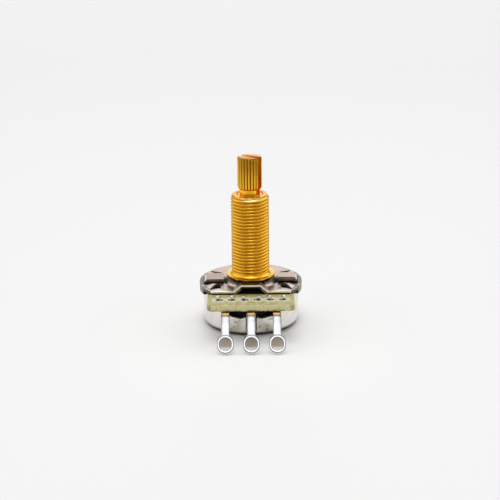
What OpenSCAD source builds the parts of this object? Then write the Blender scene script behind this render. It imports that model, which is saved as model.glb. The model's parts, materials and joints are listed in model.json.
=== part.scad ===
// Panel potentiometer with a long threaded bushing and a split, splined shaft.
// Z = 0 is the outer face of the rear cover, on the shaft's axis, and +Z runs up the shaft.
// The three terminals point towards -Y and bend down to the level of the rear face.

/* [Rear cover] */
// Outer diameter of the drawn steel cover
cover_od = 23.8; // [22.8:0.1:25]
// Thickness of the cover's floor and wall
cover_t = 1.0; // [0.6:0.05:1.2]
// Outer radius of the corner between floor and wall
cover_corner_r = 1.5; // [0.2:0.05:1.6]
// Half width of the opening in the wall below the board
window_half_w = 6.4; // [4:0.1:8]
// Height of that opening's lower edge
window_z = 5.1; // [4.4:0.1:6]
// Depth of the two relief dips beside the stop tab
relief_dip = 0.5; // [0.1:0.05:1]
// Width of the stop tab lanced out of the wall
stop_w = 2.3; // [1.5:0.1:3]
// Gap on each side of the stop tab
stop_slit = 0.2; // [0.1:0.05:0.4]
// Width of the two ears folded over the mounting plate
ear_w = 4.7; // [3:0.1:6]
// Gap between an ear's inner end and the foot of the plate's boss
ear_tip_gap = 0.05; // [0.02:0.01:1]
// Gap between an ear and the mounting plate
ear_gap = 0.15; // [0.02:0.01:0.3]
// Outer radius of an ear's fold
ear_fold_r = 1.3; // [1.25:0.05:1.8]

/* [Board] */
// Height of the board's underside above the rear face
board_z = 8.3; // [7.8:0.1:9.5]
// Thickness of the board
board_t = 1.5; // [1:0.1:2]
// Width of the board where it leaves the cover
board_w = 21.3; // [19:0.1:21.6]
// Distance from the axis to the board's front edge
board_reach = 16.1; // [15.4:0.1:17]
// Radius of the board's front corners
board_corner_r = 1.4; // [0.5:0.1:2]
// Radius of the hole round the shaft
board_hole_r = 4.6; // [3.8:0.1:4.9]
// Thickness of the printed carbon and silver layers
print_t = 0.05; // [0.03:0.01:0.1]
// Inner radius of the carbon track
track_ri = 6.7; // [6.4:0.1:7]
// Outer radius of the carbon track
track_ro = 8.5; // [8:0.1:8.7]
// Angle of the gap between the track's ends
track_gap_deg = 60; // [50:1:70]

/* [Terminals] */
// Distance between neighbouring terminals
lug_pitch = 6.2; // [5.6:0.05:6.4]
// Sheet thickness of a terminal
lug_t = 0.5; // [0.3:0.05:0.6]
// Width of a terminal's neck
lug_neck_w = 2.0; // [1.6:0.05:2.4]
// Width of a terminal's root under the board
lug_root_w = 3.4; // [2.8:0.1:3.8]
// Width of the hole in the eyelet
eyelet_hole_w = 2.7; // [1.8:0.05:3]
// Length by which the eyelet's hole is longer than it is wide
eyelet_stretch = 0.5; // [0.1:0.05:1]
// Width of the metal round the hole
eyelet_rim = 0.62; // [0.4:0.02:0.9]
// Slope of the terminal's free part below level
lug_slope_deg = 49.5; // [40:0.5:60]
// Length from the bend to the eyelet's centre
lug_free_len = 7.3; // [5.5:0.05:7.4]
// Radius of the bend, on the outside of the sheet
lug_bend_r = 1.2; // [0.9:0.05:1.6]
// Distance between the two prongs of a terminal
prong_gap = 1.7; // [1.4:0.05:2.1]
// Outer radius of a prong's curled end
clinch_r = 0.62; // [0.6:0.02:0.7]
// Height of a curled end's legs
clinch_leg = 0.12; // [0.05:0.01:0.3]

/* [Mounting plate] */
// Width by which the plate's rim stands out past the cover's wall
plate_overhang = 0.95; // [0.8:0.05:1.3]
// Sheet thickness of the plate
plate_t = 0.8; // [0.5:0.05:1]
// Distance from the axis to the plate's straight front edge
plate_front = 8.6; // [8:0.1:9.2]
// Height of the raised boss above the plate
boss_h = 1.6; // [1.4:0.05:2]
// Top radius of the raised boss
boss_top_r = 5.1; // [5:0.05:5.6]
// Half width of the top of the raised channel to the front
channel_top_hw = 2.35; // [1.5:0.05:3]
// Half width of the foot of the raised channel
channel_foot_hw = 4.15; // [3.6:0.05:4.6]
// Depth of the rim's turned-down lips below the plate
lip_drop = 1.1; // [0.5:0.1:1.5]
// Height of the dome pressed up between an ear and a front opening
dome_h = 0.45; // [0.2:0.05:0.6]
// Radius of that dome's foot
dome_r = 2.0; // [1.5:0.1:2]
// Length of a lip from the middle of the ear towards the front
lip_front_y = 5.3; // [4.6:0.1:5.4]
// Length of a lip from the middle of the ear towards the back
lip_rear_y = 4.4; // [3:0.1:6]

/* [Bushing] */
// Outer diameter over the thread's crests
thread_d = 9.5; // [9:0.05:9.9]
// Distance from one turn of the thread to the next
thread_pitch = 0.83; // [0.7:0.01:1]
// Depth of the thread
thread_depth = 0.38; // [0.2:0.01:0.45]
// Plain length at each end of the thread
thread_runout = 0.2; // [0.1:0.05:1]
// Height of the flange and thread above the mounting plate's boss
bushing_len = 21.0; // [12:0.1:24]
// Diameter of the bushing's flange
flange_d = 12.2; // [11:0.1:12.6]
// Thickness of the flange at its rim
flange_t = 0.5; // [0.3:0.05:0.8]
// Height of the cone between flange and thread
flange_cone_h = 0.55; // [0.3:0.05:1]
// Height of the chamfer at the bushing's top
bushing_chamfer_h = 0.75; // [0.3:0.05:1]
// Width of the chamfer at the bushing's top
bushing_chamfer_w = 0.42; // [0.2:0.02:0.6]
// Radius of the stem riveted through the plate
rivet_stem_r = 3.95; // [3.7:0.05:4]
// Radius of the riveted head below the plate
rivet_head_r = 4.5; // [4.3:0.05:4.6]
// Height of the riveted head
rivet_head_h = 0.5; // [0.3:0.05:0.5]

/* [Shaft] */
// Diameter of the shaft inside the bushing
shaft_d = 6.3; // [6.1:0.05:6.5]
// Radial running clearance in the bushing
shaft_fit = 0.05; // [0.02:0.01:0.1]
// Height of the shaft's top above the bushing
shaft_out = 9.4; // [7:0.1:14]
// Diameter over the splines
spline_d = 6.05; // [5.8:0.05:6.1]
// Number of splines
spline_n = 24; // [18:1:30]
// Depth of the grooves between the splines
spline_depth = 0.28; // [0.1:0.02:0.36]
// Diameter of the plain neck below the splines
neck_d = 5.1; // [4.6:0.1:5.2]
// Length of the plain neck above the bushing
neck_len = 1.3; // [0.8:0.1:2]
// Width of the slot that splits the shaft
slot_w = 1.6; // [1:0.1:2]
// Direction of the slot, from the front towards the right
slot_deg = 56; // [0:1:90]

/* [Rotor] */
// Radius of the moulded driver's disc
driver_r = 8.6; // [8:0.1:8.7]
// Height of the driver's disc above the rear face
driver_z = 3.6; // [3:0.1:3.8]
// Thickness of the driver's disc
driver_t = 2.6; // [2:0.1:2.8]
// Angle covered by the driver's stop lug
stop_lug_deg = 43; // [36:1:44]
// Thickness of the wiper's spring sheet
wiper_t = 0.25; // [0.15:0.05:0.3]
// Outer radius of the wiper's round base
wiper_r = 5.6; // [5:0.1:6]
// Length of the wiper's spring fingers
finger_len = 4; // [3.5:0.1:4.5]
// Width of one finger
finger_w = 0.42; // [0.3:0.02:0.5]
// Gap between two fingers
finger_gap = 0.16; // [0.1:0.02:0.2]
// Thickness of the thrust washer on the cover's floor
washer_t = 0.5; // [0.3:0.05:0.6]
// Thickness of the retaining ring
ring_t = 0.5; // [0.3:0.05:0.5]

/* [Hidden] */
$fn = 96;
eps = 0.01;
play = 0.05;             // clearance round pieces that are held still
cut = 40;                // longer than anything that a cut goes through

// Heights of the stack, from the rear face up
board_top = board_z + board_t;
plate_z = board_top;
plate_top = plate_z + plate_t;
boss_top = plate_top + boss_h;
boss_under = boss_top - plate_t;
flange_top = boss_top + flange_t;
bushing_top = boss_top + bushing_len;
rivet_z = boss_under - rivet_head_h;
shaft_top = bushing_top + shaft_out;
lug_top = board_z - print_t;

// Radii and widths shared by neighbours
cover_ro = cover_od / 2;
cover_ri = cover_ro - cover_t;
shaft_r = shaft_d / 2;
bushing_bore_r = shaft_r + shaft_fit;
ear_x = cover_ro - 0.15;
ear_z = plate_top + ear_gap;
boss_foot_r = boss_top_r + boss_h;
ear_inner_x = boss_foot_r + ear_tip_gap;
board_r = cover_ri - 0.2;
tongue_y = 3.4;                      // the board's straight sides start this far in front of the axis
lip_play = 0.1;                      // between the cover's wall and a lip
lip_ri = cover_ro + lip_play;
lip_ro = cover_ro + plate_overhang;
slope_run = (channel_foot_hw - channel_top_hw) / boss_h;
ear_side_gap = 0.2;                  // between an ear and the ends of its slot
rim_round = 0.15;                    // broken edge round the plate's rim

// Rotor
tail_r = 2.9;                       // round part of the flatted tail
tail_flats = 4.4;                   // distance across its flats
tail_z = cover_t + 0.35;
hub_r = 3.9;
hub_top = board_z - 0.7;
hub_z = cover_t + washer_t + play;
groove_z = (board_top + rivet_z) / 2 - ring_t / 2 - play / 2;
groove_r = shaft_r - 0.55;
lug_start_y = -9.5;                 // inner end of the terminals' roots
prong_y = -12;
prong_t = 0.5;
prong_w = 0.9;
stop_lug_ro = cover_ri - 0.6;
stop_fold_z = cover_t + 0.2;
stop_lean = cover_ri - driver_r - 0.35;  // how far the stop tab's free end leans in
root_gap = 0.25;                    // air between a terminal's root and the steel cover
collector_ro = 5.7;
collector_ri = board_hole_r - 0.3;

// Points of an arc, from angle a0 to a1
function arc(cx, cy, r, a0, a1, n = 8) =
    [for (i = [0:n]) [cx + r * cos(a0 + (a1 - a0) * i / n), cy + r * sin(a0 + (a1 - a0) * i / n)]];

// A rounded rectangle with its corner at (x0, y0), all corners of radius r
module round_rect(x0, y0, w, h, r) {
    polygon(concat(arc(x0 + w - r, y0 + r, r, -90, 0), arc(x0 + w - r, y0 + h - r, r, 0, 90),
                   arc(x0 + r, y0 + h - r, r, 90, 180), arc(x0 + r, y0 + r, r, 180, 270)));
}

// A pie slice of radius r between two angles from the +X axis
module slice(r, a0, a1) {
    polygon(concat([[0, 0]], arc(0, 0, r, a0, a1, 12)));
}

// A flat ring
module ring(ri, ro, z0, h) {
    translate([0, 0, z0])
        difference() {
            cylinder(r = ro, h = h);
            translate([0, 0, -eps])
                cylinder(r = ri, h = h + 2 * eps);
        }
}

module both_sides() {
    children();
    mirror([1, 0, 0])
        children();
}

// Drawn cup: floor, rounded corner and wall
module cover_cup() {
    inner_corner_r = max(cover_corner_r - cover_t, 0.1);
    rotate_extrude()
        polygon(concat(
            [[0, 0]],
            arc(cover_ro - cover_corner_r, cover_corner_r, cover_corner_r, -90, 0),
            [[cover_ro, plate_z], [cover_ri, plate_z]],
            arc(cover_ri - inner_corner_r, cover_t + inner_corner_r, inner_corner_r, 0, -90),
            [[0, cover_t]]));
}

// One ear: rises from the wall through the plate's slot and folds in over the plate
module cover_ear() {
    fold_in_r = ear_fold_r - cover_t;
    ear_top = ear_z + cover_t;
    translate([0, ear_w / 2, 0])
        rotate([90, 0, 0])
            linear_extrude(height = ear_w)
                polygon(concat(
                    [[ear_x - cover_t, plate_z - 1], [ear_x, plate_z - 1]],
                    arc(ear_x - ear_fold_r, ear_top - ear_fold_r, ear_fold_r, 0, 90),
                    [[ear_inner_x, ear_top], [ear_inner_x, ear_z]],
                    arc(ear_x - ear_fold_r, ear_top - ear_fold_r, fold_in_r, 90, 0)));
}

// Strip of the wall lanced free on three sides and pushed in, the shaft's end stop
module stop_tab() {
    lean_deg = atan(stop_lean / (window_z - stop_fold_z));
    len = (window_z - stop_fold_z) / cos(lean_deg);
    translate([0, -cover_ri - cover_t / 2, stop_fold_z])
        rotate([-lean_deg, 0, 0])
            translate([-stop_w / 2, -cover_t / 2, 0])
                cube([stop_w, cover_t, len]);
}

// Shelf pressed in from the wall, on which the board's rear half rests
module board_shelf(deg) {
    shelf_half_deg = 7;
    translate([0, 0, board_z - 0.6])
        linear_extrude(height = 0.6)
            intersection() {
                difference() {
                    circle(r = cover_ri + cover_t / 2);
                    circle(r = board_r - 0.5);
                }
                slice(cover_ro, deg - shelf_half_deg, deg + shelf_half_deg);
            }
}

module rear_cover() {
    stop_hole_w = stop_w + 2 * stop_slit;
    relief_x = 2.5;
    color("gainsboro")
        union() {
            difference() {
                union() {
                    cover_cup();
                    both_sides()
                        cover_ear();
                }
                // way out for the board, above its underside
                translate([-board_w / 2 - play, -cut, board_z])
                    cube([board_w + 2 * play, cut - tongue_y + 4 * play, cut]);
                // opening below the board, with a dip on each side of the stop tab
                translate([0, -cover_ri + 2, 0])
                    rotate([90, 0, 0])
                        linear_extrude(height = cut)
                            polygon([[-window_half_w, window_z], [-relief_x, window_z - relief_dip],
                                     [-stop_w / 2, window_z], [stop_w / 2, window_z],
                                     [relief_x, window_z - relief_dip], [window_half_w, window_z],
                                     [window_half_w, board_z + eps],
                                     [-window_half_w, board_z + eps]]);
                // air round the terminals' roots, just under the board
                translate([-lug_pitch - lug_root_w / 2 - root_gap, -cut,
                           lug_top - lug_t - root_gap])
                    cube([2 * lug_pitch + lug_root_w + 2 * root_gap, cut - cover_ri / 2, cut]);
                // hole that the stop tab leaves in the wall
                translate([0, -cover_ri + 2, 0])
                    rotate([90, 0, 0])
                        linear_extrude(height = cut)
                            round_rect(-stop_hole_w / 2, stop_fold_z, stop_hole_w,
                                       board_z - stop_fold_z, 0.5);
            }
            difference() {
                stop_tab();
                translate([0, 0, -cut])
                    cylinder(r = cut, h = cut);
            }
            // foot of the tab, where it is still one with the wall
            intersection() {
                cover_cup();
                translate([-stop_hole_w / 2, -cover_ro, cover_t / 2])
                    cube([stop_hole_w, cover_t + 0.4, stop_fold_z + 0.3 - cover_t / 2]);
            }
            for (deg = [90, 32, 148])
                board_shelf(deg);
        }
}

module thrust_washer() {
    color("silver")
        ring(tail_r + 0.3, hub_r + 1.3, cover_t, washer_t);
}

// Outline of the shaft's flatted tail, grown by a clearance
module tail_shape(grow) {
    intersection() {
        circle(r = tail_r + grow);
        square([2 * tail_r + 1, tail_flats + 2 * grow], center = true);
    }
}

module driver() {
    lip_w = 0.6;
    color("saddlebrown")
        difference() {
            union() {
                translate([0, 0, driver_z])
                    cylinder(r = driver_r, h = driver_t);
                translate([0, 0, hub_z])
                    cylinder(r = hub_r, h = hub_top - hub_z);
                // lug that meets the cover's stop tab at both ends of the turn
                translate([0, 0, driver_z])
                    linear_extrude(height = driver_t - 0.6)
                        difference() {
                            intersection() {
                                circle(r = stop_lug_ro);
                                slice(cover_ro, 90 - stop_lug_deg / 2, 90 + stop_lug_deg / 2);
                            }
                            circle(r = driver_r - 0.5);
                        }
            }
            // moulded recess round the lower hub
            ring(hub_r + 1.4, driver_r - lip_w, driver_z - eps, 1);
            translate([0, 0, -eps])
                linear_extrude(height = cut)
                    tail_shape(play);
        }
}

// One spring finger at the distance r from the axis, its tip lifted by rise
module finger(r, z, rise) {
    tilt = asin(rise / finger_len);
    translate([-finger_len * cos(tilt), r - finger_w / 2, z])
        rotate([0, -tilt, 0])
            cube([finger_len, finger_w, wiper_t]);
}

// Spring sheet on the driver: fingers reach up to the track and to the collector ring
module wiper_contact() {
    base_z = driver_z + driver_t;
    rise = board_z - print_t - play - base_z - wiper_t;
    track_mid = (track_ri + track_ro) / 2;
    collector_mid = (collector_ri + collector_ro) / 2;
    step = finger_w + finger_gap;
    arm_w = finger_len / 4;
    arm_ri = collector_ri - finger_w;
    arm_ro = track_mid + step + finger_w;
    color("goldenrod")
        difference() {
            union() {
                translate([0, 0, base_z])
                    cylinder(r = wiper_r, h = wiper_t);
                translate([-finger_len - arm_w * 0.9, arm_ri, base_z])
                    cube([arm_w * 1.2, arm_ro - arm_ri, wiper_t]);
                for (i = [-1:1])
                    finger(track_mid + i * step, base_z, rise);
                for (i = [-0.5, 0.5])
                    finger(collector_mid + i * step, base_z, rise - finger_w / 2);
            }
            translate([0, 0, base_z - 1])
                cylinder(r = hub_r + play, h = cut);
        }
}

// V groove between two splines, as a prism along Z
module spline_groove() {
    half_deg = 180 / spline_n * 0.72;
    r = spline_d / 2;
    linear_extrude(height = cut)
        polygon([[r - spline_depth, 0], [(r + 0.3) * cos(half_deg), (r + 0.3) * sin(half_deg) * 1.1],
                 [(r + 0.3) * cos(half_deg), -(r + 0.3) * sin(half_deg) * 1.1]]);
}

module shaft() {
    spline_r = spline_d / 2;
    neck_r = neck_d / 2;
    spline_z = bushing_top + neck_len;
    shoulder_z = bushing_top - 0.1;
    top_chamfer = 0.25;
    color("goldenrod")
        difference() {
            union() {
                translate([0, 0, tail_z])
                    linear_extrude(height = hub_top - tail_z + eps)
                        tail_shape(0);
                rotate_extrude()
                    polygon([[0, hub_top], [shaft_r, hub_top],
                             [shaft_r, groove_z], [groove_r, groove_z],
                             [groove_r, groove_z + ring_t + play], [shaft_r, groove_z + ring_t + play],
                             [shaft_r, shoulder_z], [neck_r, shoulder_z],
                             [neck_r, spline_z], [spline_r, spline_z + 0.4],
                             [spline_r, shaft_top - top_chamfer], [spline_r - top_chamfer, shaft_top],
                             [0, shaft_top]]);
            }
            for (i = [0:spline_n - 1])
                rotate([0, 0, slot_deg - 90 + (i + 0.5) * 360 / spline_n])
                    translate([0, 0, spline_z])
                        spline_groove();
            rotate([0, 0, slot_deg - 90])
                translate([-spline_d, -slot_w / 2, bushing_top + 0.1])
                    cube([2 * spline_d, slot_w, cut]);
        }
}

module retaining_ring() {
    color("dimgray")
        difference() {
            ring(groove_r + play, shaft_r + 1.05, groove_z + play / 2, ring_t);
            translate([-groove_r * 0.75, -cut, 0])
                cube([groove_r * 1.5, cut, cut]);
        }
}

// One V groove of the thread at the height z, as four points up the bushing's profile
function groove(r, z) = [[r, z - thread_pitch / 3], [r - thread_depth, z - thread_pitch / 16],
                         [r - thread_depth, z + thread_pitch / 16], [r, z + thread_pitch / 3]];

// The thread's turns are rings with its pitch and depth
module bushing() {
    thread_r = thread_d / 2;
    flange_r = flange_d / 2;
    mouth = 0.2;
    cone_w = 0.3;
    edge = 0.1;
    first = flange_top + flange_cone_h + thread_runout + thread_pitch / 3;
    last = bushing_top - bushing_chamfer_h - thread_runout - thread_pitch / 3;
    turns = floor((last - first) / thread_pitch);
    color("goldenrod")
        rotate_extrude()
            polygon(concat(
                [[bushing_bore_r, rivet_z], [rivet_head_r, rivet_z],
                 [rivet_head_r, boss_under], [rivet_stem_r, boss_under],
                 [rivet_stem_r, boss_top], [flange_r, boss_top],
                 [flange_r, flange_top - edge], [flange_r - edge, flange_top],
                 [thread_r + cone_w, flange_top], [thread_r, flange_top + flange_cone_h]],
                [for (i = [0:turns]) for (point = groove(thread_r, first + i * thread_pitch)) point],
                [[thread_r, bushing_top - bushing_chamfer_h],
                 [thread_r - bushing_chamfer_w, bushing_top],
                 [bushing_bore_r + mouth, bushing_top], [bushing_bore_r, bushing_top - mouth]]));
}

// Cross section of the raised channel, from the height low to the height high
module channel_shape(top_hw, foot_hw, low, high) {
    polygon([[-foot_hw, low], [-top_hw, high], [top_hw, high], [foot_hw, low]]);
}

// Opening near one corner of the plate, its place taken from the rim
module corner_opening() {
    x_in = lip_ro - 5.4;
    x_out = lip_ro - 2.9;
    y_near = 3.6;
    y_mid = 6.1;
    y_far = 7.1;
    r = 0.3;
    translate([0, 0, plate_z - 1])
        linear_extrude(height = plate_t + 2)
            polygon(concat(arc(x_in + r, y_near + r, r, 180, 315, 5),
                           arc(x_out, y_far - r, r, -45, 110, 5),
                           arc(x_in + r, y_mid - r, r, 110, 180, 5)));
}

// Upper part of a ball over a front corner of the plate, above the height low
module dome_cap(ball_r, ball_z, low) {
    translate([lip_ro - 3.75, -ear_w / 2 - 2.25, 0])
        intersection() {
            translate([0, 0, ball_z])
                sphere(r = ball_r);
            translate([0, 0, low])
                cylinder(r = dome_r + 1, h = ball_r);
        }
}

// Part of the rim turned down outside the cover's wall, past the ends of an ear
module rim_lip() {
    a0 = -asin(lip_front_y / lip_ri);
    a1 = asin(lip_rear_y / lip_ri);
    rotate([0, 0, a0])
        rotate_extrude(angle = a1 - a0)
            translate([lip_ri, plate_z - lip_drop])
                square([lip_ro - rim_round - lip_ri, lip_drop + plate_t / 2]);
}

module mounting_plate() {
    // horizontal width of the sheet on a slope of 45 degrees and on the channel's slope
    boss_wall = plate_t * sqrt(2);
    channel_wall = plate_t * sqrt(1 + slope_run * slope_run);
    // ball whose cap has the dome's foot and height
    ball_r = (dome_r * dome_r + dome_h * dome_h) / (2 * dome_h);
    ball_z = plate_top + dome_h - ball_r;
    inner_foot_r = boss_foot_r + plate_t - boss_wall;
    inner_top_r = boss_top_r + plate_t - boss_wall;
    color("silver")
        difference() {
            union() {
                translate([0, 0, plate_z])
                    cylinder(r = lip_ro, h = plate_t - rim_round);
                translate([0, 0, plate_top - rim_round])
                    cylinder(r1 = lip_ro, r2 = lip_ro - rim_round, h = rim_round);
                translate([0, 0, plate_top - eps])
                    cylinder(r1 = boss_foot_r + eps, r2 = boss_top_r, h = boss_h + eps);
                rotate([90, 0, 0])
                    linear_extrude(height = plate_front)
                        channel_shape(channel_top_hw, channel_foot_hw, plate_top - eps, boss_top);
                both_sides() {
                    rim_lip();
                    dome_cap(ball_r, ball_z, plate_top - eps);
                }
            }
            // hollow under the boss and the channel
            translate([0, 0, plate_z - eps])
                cylinder(r1 = inner_foot_r + eps, r2 = inner_top_r, h = boss_h + eps);
            rotate([90, 0, 0])
                linear_extrude(height = cut)
                    channel_shape(channel_top_hw + slope_run * plate_t - channel_wall,
                                  channel_foot_hw + slope_run * plate_t - channel_wall,
                                  plate_z - eps, boss_under);
            translate([0, 0, plate_z - 1])
                cylinder(r = rivet_stem_r + play, h = cut);
            // straight front edge
            translate([-cut / 2, -cut - plate_front, 0])
                cube([cut, cut, cut]);
            both_sides() {
                dome_cap(ball_r - plate_t, ball_z, plate_z - eps);
                // slot for the ear
                translate([ear_x - cover_t - ear_gap, -ear_w / 2 - ear_side_gap, 0])
                    cube([cover_t + 2 * ear_gap, ear_w + 2 * ear_side_gap, cut]);
                corner_opening();
                mirror([0, 1, 0])
                    corner_opening();
            }
        }
}

module element_board() {
    slot_play = 0.06;
    color("darkkhaki")
        difference() {
            translate([0, 0, board_z])
                linear_extrude(height = board_t)
                    union() {
                        circle(r = board_r);
                        round_rect(-board_w / 2, -board_reach, board_w, board_reach - tongue_y,
                                   board_corner_r);
                        // square rear corners inside the cover
                        translate([-board_w / 2, -2 * tongue_y])
                            square([board_w, tongue_y]);
                    }
            translate([0, 0, board_z - eps])
                cylinder(r = board_hole_r, h = board_t + 2 * eps);
            for (x = [-lug_pitch, 0, lug_pitch], side = [-1, 1])
                translate([x + side * prong_gap / 2 - prong_t / 2 - slot_play,
                           prong_y - prong_w / 2 - slot_play, board_z - 1])
                    cube([prong_t + 2 * slot_play, prong_w + 2 * slot_play, board_t + 2]);
        }
}

module carbon_track() {
    color("black")
        translate([0, 0, lug_top])
            linear_extrude(height = print_t)
                difference() {
                    circle(r = track_ro);
                    circle(r = track_ri);
                    slice(track_ro + 2, 270 - track_gap_deg / 2, 270 + track_gap_deg / 2);
                }
}

// Silver print from one end of the track to the root of its terminal
module end_pad(side) {
    track_mid = (track_ri + track_ro) / 2;
    pad_w = lug_root_w - 0.2;
    half_gap = track_gap_deg / 2;
    start_x = track_mid * sin(half_gap);
    color("lightgray")
        translate([0, 0, lug_top])
            linear_extrude(height = print_t)
                difference() {
                    polygon([[side * (start_x - 1), -track_ri * cos(half_gap) + 0.6],
                             [side * (start_x + 1), -track_ri * cos(half_gap) + 0.6],
                             [side * (lug_pitch + pad_w / 2), lug_start_y],
                             [side * (lug_pitch + pad_w / 2), prong_y + prong_w],
                             [side * (lug_pitch - pad_w / 2), prong_y + prong_w],
                             [side * (lug_pitch - pad_w / 2), lug_start_y]]);
                    intersection() {
                        circle(r = track_ro + 0.02);
                        difference() {
                            circle(r = cut);
                            slice(cut, 270 - half_gap + 0.1, 270 + half_gap - 0.1);
                        }
                    }
                }
}

module end_pad_left() {
    end_pad(-1);
}

module end_pad_right() {
    end_pad(1);
}

// Flat metal ring under the board, joined by a tongue to the middle terminal
module collector_ring() {
    sheet = 0.2;
    color("lightgray")
        difference() {
            union() {
                translate([0, 0, board_z - sheet])
                    cylinder(r = collector_ro, h = sheet);
                translate([-lug_neck_w / 2, lug_start_y, board_z - sheet])
                    cube([lug_neck_w, -lug_start_y - 4.6, sheet]);
            }
            translate([0, 0, board_z - 1])
                cylinder(r = collector_ri, h = 2);
        }
}

// Curled end of a prong on top of the board, an arch whose inner leg is the prong
module clinch() {
    inner_r = clinch_r - prong_t;
    translate([clinch_r - prong_t / 2, prong_w / 2, 0])
        rotate([90, 0, 0])
            linear_extrude(height = prong_w)
                polygon(concat([[clinch_r, 0]], arc(0, clinch_leg, clinch_r, 0, 180, 16),
                               [[-clinch_r, 0], [-inner_r, 0]],
                               arc(0, clinch_leg, inner_r, 180, 0), [[inner_r, 0]]));
}

// One terminal: root under the board, two clinched prongs, neck, bend and eyelet
module terminal(x) {
    bend_y = -board_reach - 0.3;
    root_end = prong_y - 1.2;
    neck_start = root_end - (lug_root_w - lug_neck_w) / 2;
    hole_r = eyelet_hole_w / 2;
    rim_r = hole_r + eyelet_rim;
    half = eyelet_stretch / 2;
    color("whitesmoke")
        translate([x, 0, 0]) {
            translate([0, 0, lug_top - lug_t])
                linear_extrude(height = lug_t)
                    polygon([[-lug_root_w / 2, lug_start_y], [lug_root_w / 2, lug_start_y],
                             [lug_root_w / 2, root_end], [lug_neck_w / 2, neck_start],
                             [lug_neck_w / 2, bend_y], [-lug_neck_w / 2, bend_y],
                             [-lug_neck_w / 2, neck_start], [-lug_root_w / 2, root_end]]);
            both_sides()
                translate([prong_gap / 2, prong_y, 0]) {
                    translate([-prong_t / 2, -prong_w / 2, lug_top - eps])
                        cube([prong_t, prong_w, board_top - lug_top + 2 * eps]);
                    translate([0, 0, board_top])
                        clinch();
                }
            translate([0, bend_y, lug_top - lug_bend_r])
                rotate([0, -90, 0])
                    rotate([0, 0, -lug_slope_deg])
                        translate([0, 0, -lug_neck_w / 2])
                            rotate_extrude(angle = lug_slope_deg)
                                translate([lug_bend_r - lug_t, 0])
                                    square([lug_t, lug_neck_w]);
            // the free part, drawn flat along -Y and turned down about the bend's centre
            translate([0, bend_y, lug_top - lug_bend_r])
                rotate([lug_slope_deg, 0, 0])
                    translate([0, 0, lug_bend_r - lug_t])
                        linear_extrude(height = lug_t)
                            difference() {
                                union() {
                                    translate([-lug_neck_w / 2, -lug_free_len])
                                        square([lug_neck_w, lug_free_len]);
                                    for (s = [-1, 1])
                                        translate([0, -lug_free_len + s * half])
                                            circle(r = rim_r);
                                    translate([-rim_r, -lug_free_len - half])
                                        square([2 * rim_r, 2 * half]);
                                    polygon([[-lug_neck_w / 2, -lug_free_len + rim_r + half + 0.5],
                                             [lug_neck_w / 2, -lug_free_len + rim_r + half + 0.5],
                                             [rim_r * 0.88, -lug_free_len + half + rim_r * 0.48],
                                             [-rim_r * 0.88, -lug_free_len + half + rim_r * 0.48]]);
                                }
                                for (s = [-1, 1])
                                    translate([0, -lug_free_len + s * half])
                                        circle(r = hole_r);
                                translate([-hole_r, -lug_free_len - half])
                                    square([2 * hole_r, 2 * half]);
                            }
        }
}

module terminal_left() {
    terminal(-lug_pitch);
}

module terminal_centre() {
    terminal(0);
}

module terminal_right() {
    terminal(lug_pitch);
}

rear_cover();
thrust_washer();
driver();
wiper_contact();
shaft();
retaining_ring();
bushing();
mounting_plate();
element_board();
carbon_track();
end_pad_left();
end_pad_right();
collector_ring();
terminal_left();
terminal_centre();
terminal_right();
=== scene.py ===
import json
from math import atan2, ceil, cos, degrees, hypot, pi, radians, sin, sqrt

import bmesh
import bpy
from mathutils import Matrix, Quaternion, Vector

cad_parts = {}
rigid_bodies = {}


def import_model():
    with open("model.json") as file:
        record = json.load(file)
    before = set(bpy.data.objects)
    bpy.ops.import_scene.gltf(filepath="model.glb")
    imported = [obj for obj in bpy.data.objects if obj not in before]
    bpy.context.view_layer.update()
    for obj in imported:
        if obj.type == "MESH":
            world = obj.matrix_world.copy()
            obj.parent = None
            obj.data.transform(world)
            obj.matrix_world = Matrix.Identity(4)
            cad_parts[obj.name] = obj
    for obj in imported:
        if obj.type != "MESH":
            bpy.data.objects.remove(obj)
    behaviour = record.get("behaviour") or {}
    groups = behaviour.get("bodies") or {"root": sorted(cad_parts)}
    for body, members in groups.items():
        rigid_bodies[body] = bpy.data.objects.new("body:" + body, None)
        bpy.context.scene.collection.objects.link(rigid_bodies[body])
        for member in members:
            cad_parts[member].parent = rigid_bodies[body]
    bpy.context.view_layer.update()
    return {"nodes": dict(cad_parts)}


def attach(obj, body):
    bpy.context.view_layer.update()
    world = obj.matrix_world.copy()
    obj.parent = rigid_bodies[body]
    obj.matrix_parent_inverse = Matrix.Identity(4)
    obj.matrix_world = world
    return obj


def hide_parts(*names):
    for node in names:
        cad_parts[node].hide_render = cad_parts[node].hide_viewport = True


# clear the start-up objects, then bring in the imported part
for startObject in list(bpy.data.objects):
    bpy.data.objects.remove(startObject)
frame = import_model()
nodes = frame["nodes"]
print("frame loaded:", len(nodes), "nodes")

# shapes and marks are given in millimetres; a piece is brought to metres when it is made
toMetres = 0.001


# small helpers for meshes
def smoothStep(low, high, x):
    t = min(1.0, max(0.0, (x - low) / (high - low)))
    return t * t * (3 - 2 * t)


def allOf(bm):
    return bm.verts[:] + bm.edges[:] + bm.faces[:]


def vertsOf(geom):
    return [g for g in geom if isinstance(g, bmesh.types.BMVert)]


def sharpEdges(bm, minAngle):
    return [e for e in bm.edges if len(e.link_faces) == 2 and e.calc_face_angle(0) > radians(minAngle)]


def levelSharpEdges(bm, minAngle):
    return [e for e in sharpEdges(bm, minAngle) if abs(e.verts[0].co.z - e.verts[1].co.z) < 1e-4]


def breakEdges(bm, edges, width, segments):
    bmesh.ops.bevel(bm, geom=edges, offset=width, offset_type="OFFSET", affect="EDGES", segments=segments,
                    profile=0.5, material=-1, clamp_overlap=True)


def linked(name, data):
    newObject = bpy.data.objects.new(name, data)
    bpy.context.scene.collection.objects.link(newObject)
    return newObject


def meshOf(name, bm):
    mesh = bpy.data.meshes.new(name)
    bm.to_mesh(mesh)
    bm.free()
    return mesh


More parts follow.
